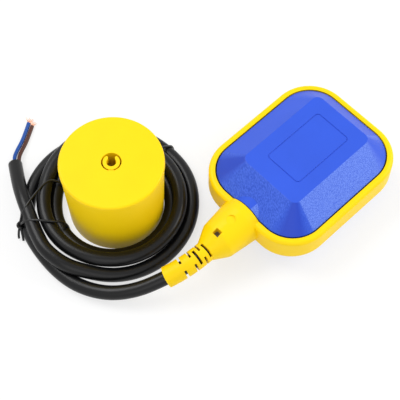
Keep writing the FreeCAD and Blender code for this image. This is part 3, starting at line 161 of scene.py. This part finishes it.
conductorSettings = {
    "radius": 0.00122,
    "blue": [(-0.11464, 0.12737, 0.0043), (-0.11213, 0.13177, 0.0036), (-0.10728, 0.13513, 0.0026),
             (-0.10079, 0.13843, 0.0016), (-0.09457, 0.14221, 0.0014), (-0.08857, 0.14628, 0.0013)],
    "brown": [(-0.1124, 0.12634, 0.0043), (-0.10991, 0.12994, 0.0036), (-0.10564, 0.13296, 0.0025),
              (-0.10013, 0.13583, 0.0016), (-0.09459, 0.13917, 0.0014), (-0.08848, 0.14317, 0.0013)],
    "strandRadius": 0.00009,
    "strands": 24,
    "strandLength": 0.0036,
    "fan": 0.62,
    "flatness": 0.45,
    "goldenAngle": 2.39996,
    "bundle": 0.0008,  # radius of the bare bundle where it leaves the insulation
    "inside": 0.0006,  # how far the strands reach back into the insulation
    "sway": 0.0003,
    "lowest": 0.0003,
}

blueConductor = makeTube("blueConductor", [conductorSettings["blue"]], conductorSettings["radius"])
brownConductor = makeTube("brownConductor", [conductorSettings["brown"]], conductorSettings["radius"])


def strandRoutes(settings, route, seed):
    chance = random.Random(seed)
    tip = Vector(route[-1])
    heading = (tip - Vector(route[-2])).normalized()
    across = heading.cross(Vector((0, 0, 1))).normalized()
    upward = across.cross(heading)
    routes = []
    for number in range(settings["strands"]):
        ring = math.sqrt((number + 0.5) / settings["strands"])
        angle = number * settings["goldenAngle"]
        outward = across * math.cos(angle) + upward * math.sin(angle) * settings["flatness"]
        root = tip - heading * settings["inside"] + outward * ring * settings["bundle"]
        lean = settings["fan"] * ring * chance.uniform(0.6, 1.1)
        reach = settings["strandLength"] * chance.uniform(0.8, 1.1)
        sway = across * chance.uniform(-settings["sway"], settings["sway"])
        points = [root, root + (heading + outward * lean * 0.4) * reach * 0.4 + sway,
                  root + (heading + outward * lean) * reach * 0.8, root + (heading + outward * lean) * reach]
        routes.append([(point.x, point.y, max(point.z, settings["lowest"])) for point in points])
    return routes


blueStrands = makeTube("blueStrandFan", strandRoutes(conductorSettings, conductorSettings["blue"], 3),
                       conductorSettings["strandRadius"], 1)
brownStrands = makeTube("brownStrandFan", strandRoutes(conductorSettings, conductorSettings["brown"], 8),
                        conductorSettings["strandRadius"], 1)

# Ties: radius, angle and height round the coil's middle
tieSettings = {
    "radius": 0.0007,
    "coilTie": [[(0.0298, 169, 0.0012), (0.0300, 169, 0.0085), (0.0332, 167, 0.0146), (0.0389, 164, 0.0172),
                 (0.0464, 158.5, 0.0180), (0.0522, 155.5, 0.0162), (0.0550, 154, 0.0115),
                 (0.0557, 153.2, 0.0080)],
                [(0.0557, 152.4, 0.0080), (0.0546, 151, 0.0123), (0.0515, 147.5, 0.0168),
                 (0.0465, 140, 0.0177), (0.0393, 122, 0.0170), (0.0334, 119, 0.0144), (0.0300, 118, 0.0085),
                 (0.0298, 118, 0.0012)]],
    "tieEnds": [[(0.0556, 152.8, 0.0085), (0.0580, 154.6, 0.0040), (0.0586, 157.5, 0.0012)],
                [(0.0556, 152.8, 0.0085), (0.0560, 156.0, 0.0034), (0.0566, 160.0, 0.0010)]],
    "knot": [(0.0548, 150.9, 0.0088), (0.0572, 152.0, 0.0092), (0.0574, 154.4, 0.0084), (0.0550, 154.8, 0.0080),
             (0.0546, 152.4, 0.0074), (0.0570, 151.4, 0.0074), (0.0572, 153.6, 0.0068)],
    "backTie": [(0.0310, 8, 0.0012), (0.0311, 8, 0.0085), (0.0340, 8, 0.0146), (0.0389, 7, 0.0171),
                (0.0444, 6, 0.0132), (0.0486, 5, 0.0099), (0.0524, 4, 0.0066), (0.0529, 4, 0.0012)],
}


def tieRoute(points):
    return [aroundCoil(*point) for point in points]


coilTieRoutes = tieSettings["coilTie"] + [tieSettings["knot"]] + tieSettings["tieEnds"]
coilTie = makeTube("coilTieWire", [tieRoute(route) for route in coilTieRoutes], tieSettings["radius"], 3)
backTie = makeTube("backTieWire", [tieRoute(tieSettings["backTie"])], tieSettings["radius"], 3)
print("conductors, strands and ties made")

# Each drawn piece, the CAD nodes it stands for and its material slot
drawnPieces = (
    (cable, ("cable_lead", "cable_coil", "cable_tail"), "cable_sheath"),
    (blueConductor, ("blue_conductor",), "blue_insulation"),
    (brownConductor, ("brown_conductor",), "brown_insulation"),
    (blueStrands, ("blue_strands",), "copper"),
    (brownStrands, ("brown_strands",), "copper"),
    (coilTie, ("coil_tie",), "tie_wire"),
    (backTie, ("back_tie",), "tie_wire"),
)
for piece, nodes, slot in drawnPieces:
    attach(piece, "float_set")
    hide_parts(*nodes)

# One dictionary for each finish: colour, how far it varies, roughness, grain size and depth
finishSettings = {
    "yellow_plastic": {"color": (0.930, 0.640, 0.002), "shade": 0.95, "rough": (0.34, 0.46), "grain": 2600,
                       "depth": 0.10, "shine": 0.16},
    "relief_plastic": {"color": (0.925, 0.625, 0.002), "shade": 0.88, "rough": (0.38, 0.50), "grain": 2200,
                       "depth": 0.12, "shine": 0.16},
    "blue_plastic": {"color": (0.022, 0.088, 0.640), "shade": 0.92, "rough": (0.36, 0.48), "grain": 2400,
                     "depth": 0.16, "shine": 0.32,
                     # cover slopes: the side slope's colours are painted lighter as painted light over its real
                     # stipple, the cable-end slope's colours are painted darker as painted shade
                     "stipple": {"litFlank": ((0.050, 0.120, 0.600), (0.125, 0.225, 0.760)),
                                 "end": ((0.020, 0.074, 0.530), (0.046, 0.124, 0.670)),
                                 # a deeper blue painted as shade into the rounded corners at the cable end
                                 "corner": (0.012, 0.052, 0.480), "size": 2000, "turn": -43.75, "stretch": 12.0,
                                 "depth": 0.7, "pit": 0.00012, "level": 0.975, "lean": -0.08,
                                 "rounded": 0.42, "flat": 0.06, "span": (0.38, 0.62)}},
    "seal_rubber": {"color": (0.010, 0.010, 0.010), "shade": 0.7, "rough": (0.6, 0.8), "grain": 1500,
                    "depth": 0.15},
    "cable_sheath": {"color": (0.0050, 0.0050, 0.0054), "shade": 0.7, "rough": (0.26, 0.36), "grain": 1400,
                     "depth": 0.08, "shine": 0.26},
    "grey_plastic": {"color": (0.170, 0.170, 0.180), "shade": 0.8, "rough": (0.4, 0.55), "grain": 1800,
                     "depth": 0.12},
    "sealing_resin": {"color": (0.050, 0.040, 0.028), "shade": 0.7, "rough": (0.25, 0.40), "grain": 900,
                      "depth": 0.2},
    "box_plastic": {"color": (0.700, 0.700, 0.650), "shade": 0.9, "rough": (0.4, 0.5), "grain": 2000,
                    "depth": 0.10},
    "rocker_plastic": {"color": (0.820, 0.820, 0.780), "shade": 0.92, "rough": (0.35, 0.45), "grain": 2000,
                       "depth": 0.10},
    "switch_case": {"color": (0.014, 0.014, 0.014), "shade": 0.7, "rough": (0.4, 0.55), "grain": 2000,
                    "depth": 0.15},
    "plunger_plastic": {"color": (0.320, 0.014, 0.010), "shade": 0.85, "rough": (0.35, 0.45), "grain": 2000,
                        "depth": 0.10},
    "blue_insulation": {"color": (0.008, 0.075, 0.360), "shade": 0.6, "rough": (0.32, 0.42), "grain": 1600,
                        "depth": 0.10, "shine": 0.30},
    "brown_insulation": {"color": (0.085, 0.024, 0.012), "shade": 0.6, "rough": (0.32, 0.42), "grain": 1600,
                         "depth": 0.10, "shine": 0.30},
    "tie_wire": {"color": (0.006, 0.006, 0.006), "shade": 0.7, "rough": (0.24, 0.36), "grain": 1500,
                 "depth": 0.12, "shine": 0.40},
    "steel": {"color": (0.560, 0.560, 0.580), "shade": 0.85, "rough": (0.25, 0.38), "grain": 1200,
              "depth": 0.06, "metal": 1.0},
    "polished_steel": {"color": (0.780, 0.780, 0.800), "shade": 0.95, "rough": (0.06, 0.12), "grain": 800,
                       "depth": 0.02, "metal": 1.0},
    "contact_brass": {"color": (0.760, 0.520, 0.170), "shade": 0.85, "rough": (0.2, 0.32), "grain": 1000,
                      "depth": 0.05, "metal": 1.0},
    "copper": {"color": (0.900, 0.480, 0.300), "shade": 0.75, "rough": (0.25, 0.38), "grain": 1200,
               "depth": 0.04, "metal": 1.0},
    "iron": {"color": (0.060, 0.060, 0.064), "shade": 0.7, "rough": (0.6, 0.8), "grain": 700,
             "depth": 0.40, "metal": 0.6},
}


# Shared by all: the broad, faint change of tone from moulding and handling, and the mould's fine grain
surfaceSettings = {
    "cloudSize": 35,
    "cloudDetail": 4,
    "cloudSpan": (0.30, 0.70),
    "grainDetail": 2,
    "grainDepth": 0.0002,
}


def addMath(nodes, links, operation, *sources):
    step = nodes.new("ShaderNodeMath")
    step.operation = operation
    for socket, source in zip(step.inputs, sources):
        if isinstance(source, (int, float)):
            socket.default_value = source
        else:
            links.new(source, socket)
    return step.outputs["Value"]


def addNoise(nodes, links, size, detail, vector):
    noise = nodes.new("ShaderNodeTexNoise")
    noise.inputs["Scale"].default_value = size
    noise.inputs["Detail"].default_value = detail
    links.new(vector, noise.inputs["Vector"])
    return noise.outputs["Fac"]


def addRamp(nodes, links, span, colors, source):
    ramp = nodes.new("ShaderNodeValToRGB")
    for element, position, color in zip(ramp.color_ramp.elements, span, colors):
        element.position = position
        element.color = (*color, 1)
    links.new(source, ramp.inputs["Fac"])
    return ramp.outputs["Color"]


def addMix(nodes, links, share, first, second):
    mix = nodes.new("ShaderNodeMix")
    mix.data_type = "RGBA"
    links.new(share, mix.inputs["Factor"])
    links.new(first, mix.inputs["A"])
    links.new(second, mix.inputs["B"])
    return mix.outputs["Result"]


# The float's cover: two slopes are stippled, the one at the cable end in lines; their colours are painted light
# and shade: the side slope is painted lighter, the cable-end slope painted darker, and the corners there get a
# deeper painted shade
def addStippleAndPaintedShade(settings, nodes, links, place, tone, normal, shader):
    axes = nodes.new("ShaderNodeSeparateXYZ")
    links.new(place.outputs["Normal"], axes.inputs["Vector"])
    along, across, upward = axes.outputs["X"], axes.outputs["Y"], axes.outputs["Z"]
    sloping = addMath(nodes, links, "LESS_THAN", addMath(nodes, links, "ABSOLUTE", upward), settings["level"])
    endward = addMath(nodes, links, "LESS_THAN", along, settings["lean"])
    flankward = addMath(nodes, links, "LESS_THAN", across, settings["lean"])
    product = addMath(nodes, links, "MULTIPLY", along, across)
    squareX = addMath(nodes, links, "MULTIPLY", along, along)
    squareY = addMath(nodes, links, "MULTIPLY", across, across)
    # never zero, so that it can divide
    squares = addMath(nodes, links, "MAXIMUM", addMath(nodes, links, "ADD", squareX, squareY), 0.0001)
    diagonal = addMath(nodes, links, "DIVIDE", addMath(nodes, links, "ABSOLUTE", product), squares)
    flat = nodes.new("ShaderNodeMapRange")  # 1 on the flat slopes, 0 in the rounded corners
    flat.inputs["From Min"].default_value = settings["rounded"]
    flat.inputs["From Max"].default_value = settings["flat"]
    links.new(diagonal, flat.inputs["Value"])
    sides = addMath(nodes, links, "MAXIMUM", endward, flankward)
    where = addMath(nodes, links, "MULTIPLY", addMath(nodes, links, "MULTIPLY", sloping, sides),
                    flat.outputs["Result"])
    # painted shade: the rounded corners at the cable end are darkened to a deeper blue
    corners = addMath(nodes, links, "MULTIPLY", addMath(nodes, links, "MULTIPLY", sloping, endward),
                      addMath(nodes, links, "SUBTRACT", 1.0, flat.outputs["Result"]))
    turned = nodes.new("ShaderNodeMapping")
    turned.vector_type = "TEXTURE"
    turned.inputs["Rotation"].default_value = (0, 0, math.radians(settings["turn"]))
    turned.inputs["Scale"].default_value = (1, settings["stretch"], 1)
    links.new(place.outputs["Object"], turned.inputs["Vector"])
    spots = addNoise(nodes, links, settings["size"], 1, place.outputs["Object"])
    lines = addNoise(nodes, links, settings["size"], 1, turned.outputs["Vector"])
    # painted light on the side slope's stipple, painted shade on the cable-end slope's lines
    litFlankTone = addRamp(nodes, links, settings["span"], settings["litFlank"], spots)
    endTone = addRamp(nodes, links, settings["span"], settings["end"], lines)
    cornerShadeColor = nodes.new("ShaderNodeRGB")
    cornerShadeColor.outputs["Color"].default_value = (*settings["corner"], 1)
    plain = addMix(nodes, links, corners, tone, cornerShadeColor.outputs["Color"])
    paintedFacetTone = addMix(nodes, links, endward, litFlankTone, endTone)
    links.new(addMix(nodes, links, where, plain, paintedFacetTone), shader.inputs["Base Color"])
    pits = nodes.new("ShaderNodeBump")
    pits.inputs["Distance"].default_value = settings["pit"]
    links.new(addMath(nodes, links, "MULTIPLY", where, settings["depth"]), pits.inputs["Strength"])
    links.new(spots, pits.inputs["Height"])
    links.new(normal, pits.inputs["Normal"])
    links.new(pits.outputs["Normal"], shader.inputs["Normal"])


def makeFinish(name, settings):
    material = bpy.data.materials.new(name)
    material.use_nodes = True
    nodes = material.node_tree.nodes
    links = material.node_tree.links
    shader = nodes["Principled BSDF"]
    shader.inputs["Metallic"].default_value = settings.get("metal", 0.0)
    shader.inputs["Specular IOR Level"].default_value = settings.get("shine", 0.5)
    place = nodes.new("ShaderNodeTexCoord")
    cloud = addNoise(nodes, links, surfaceSettings["cloudSize"], surfaceSettings["cloudDetail"],
                     place.outputs["Object"])
    darker = [part * settings["shade"] for part in settings["color"]]
    tone = addRamp(nodes, links, surfaceSettings["cloudSpan"], (darker, settings["color"]), cloud)
    grain = addNoise(nodes, links, settings["grain"], surfaceSettings["grainDetail"], place.outputs["Object"])
    gloss = nodes.new("ShaderNodeMapRange")
    gloss.inputs["To Min"].default_value = settings["rough"][0]
    gloss.inputs["To Max"].default_value = settings["rough"][1]
    links.new(grain, gloss.inputs["Value"])
    links.new(gloss.outputs["Result"], shader.inputs["Roughness"])
    bump = nodes.new("ShaderNodeBump")
    bump.inputs["Strength"].default_value = settings["depth"]
    bump.inputs["Distance"].default_value = surfaceSettings["grainDepth"]
    links.new(grain, bump.inputs["Height"])
    if "stipple" in settings:
        addStippleAndPaintedShade(settings["stipple"], nodes, links, place, tone, bump.outputs["Normal"], shader)
    else:
        links.new(tone, shader.inputs["Base Color"])
        links.new(bump.outputs["Normal"], shader.inputs["Normal"])
    return material


finishes = {name: makeFinish(name, settings) for name, settings in finishSettings.items()}
slotOfNode = {entry["node"]: entry["material_slot"] for entry in frame["record"]["subparts"]}
for name, node in frame["nodes"].items():
    for place in node.material_slots:
        place.material = finishes[slotOfNode[name]]
for piece, _, slot in drawnPieces:
    piece.data.materials.append(finishes[slot])
print("finishes given")

studioSettings = {
    "floorSize": 6.0,
    "floorHeight": -0.0001,
    "floorTone": 0.90,
    "floorRough": 0.9,
    "floorGlow": 0.70,
    "worldStrength": 0.66,
    "lamps": [
        {"name": "keyLamp", "place": (-0.25, 0.75, 1.10), "size": 0.7, "watts": 8.5},
        {"name": "fillLamp", "place": (-0.75, -0.55, 0.80), "size": 0.8, "watts": 2.2},
        {"name": "sideLamp", "place": (0.80, -0.45, 0.60), "size": 0.6, "watts": 6.0},
    ],
    "aim": (-0.045, 0.035, 0.02),
}


def seenByEye(nodes, links):
    rays = nodes.new("ShaderNodeLightPath")
    direct = addMath(nodes, links, "MAXIMUM", rays.outputs["Is Camera Ray"], rays.outputs["Is Glossy Ray"])
    return addMath(nodes, links, "MAXIMUM", direct, rays.outputs["Is Transmission Ray"])


def makeWorld(settings):
    world = bpy.data.worlds.new("studio")
    world.use_nodes = True
    bpy.context.scene.world = world
    nodes = world.node_tree.nodes
    links = world.node_tree.links
    nodes.clear()
    plain = nodes.new("ShaderNodeBackground")
    plain.inputs["Strength"].default_value = settings["worldStrength"]
    plain.inputs["Color"].default_value = (1, 1, 1, 1)
    white = nodes.new("ShaderNodeBackground")
    white.inputs["Color"].default_value = (1, 1, 1, 1)
    white.inputs["Strength"].default_value = 1.0
    mix = nodes.new("ShaderNodeMixShader")
    result = nodes.new("ShaderNodeOutputWorld")
    links.new(seenByEye(nodes, links), mix.inputs["Fac"])
    links.new(plain.outputs["Background"], mix.inputs[1])
    links.new(white.outputs["Background"], mix.inputs[2])
    links.new(mix.outputs["Shader"], result.inputs["Surface"])


def makeFloor(settings):
    mesh = bpy.data.meshes.new("floor")
    shape = bmesh.new()
    bmesh.ops.create_grid(shape, x_segments=1, y_segments=1, size=settings["floorSize"] / 2)
    bmesh.ops.translate(shape, verts=shape.verts, vec=(0, 0, settings["floorHeight"]))
    shape.to_mesh(mesh)
    shape.free()
    floor = bpy.data.objects.new("floor", mesh)
    bpy.context.scene.collection.objects.link(floor)
    material = bpy.data.materials.new("paleFloor")
    material.use_nodes = True
    nodes = material.node_tree.nodes
    links = material.node_tree.links
    shader = nodes["Principled BSDF"]
    shader.inputs["Base Color"].default_value = (*[settings["floorTone"]] * 3, 1)
    shader.inputs["Roughness"].default_value = settings["floorRough"]
    glow = nodes.new("ShaderNodeEmission")
    glow.inputs["Strength"].default_value = 1.0
    share = addMath(nodes, links, "MULTIPLY", seenByEye(nodes, links), settings["floorGlow"])
    mix = nodes.new("ShaderNodeMixShader")
    links.new(share, mix.inputs["Fac"])
    links.new(shader.outputs["BSDF"], mix.inputs[1])
    links.new(glow.outputs["Emission"], mix.inputs[2])
    links.new(mix.outputs["Shader"], nodes["Material Output"].inputs["Surface"])
    mesh.materials.append(material)


def makeLamp(settings, aim):
    data = bpy.data.lights.new(settings["name"], "AREA")
    data.shape = "SQUARE"
    data.size = settings["size"]
    data.energy = settings["watts"]
    lamp = bpy.data.objects.new(settings["name"], data)
    lamp.location = settings["place"]
    lamp.rotation_mode = "QUATERNION"
    lamp.rotation_quaternion = (Vector(aim) - Vector(settings["place"])).to_track_quat("-Z", "Y")
    bpy.context.scene.collection.objects.link(lamp)


makeWorld(studioSettings)
makeFloor(studioSettings)
for lampSettings in studioSettings["lamps"]:
    makeLamp(lampSettings, studioSettings["aim"])
bpy.context.scene.view_settings.view_transform = "Standard"
print("studio lit")
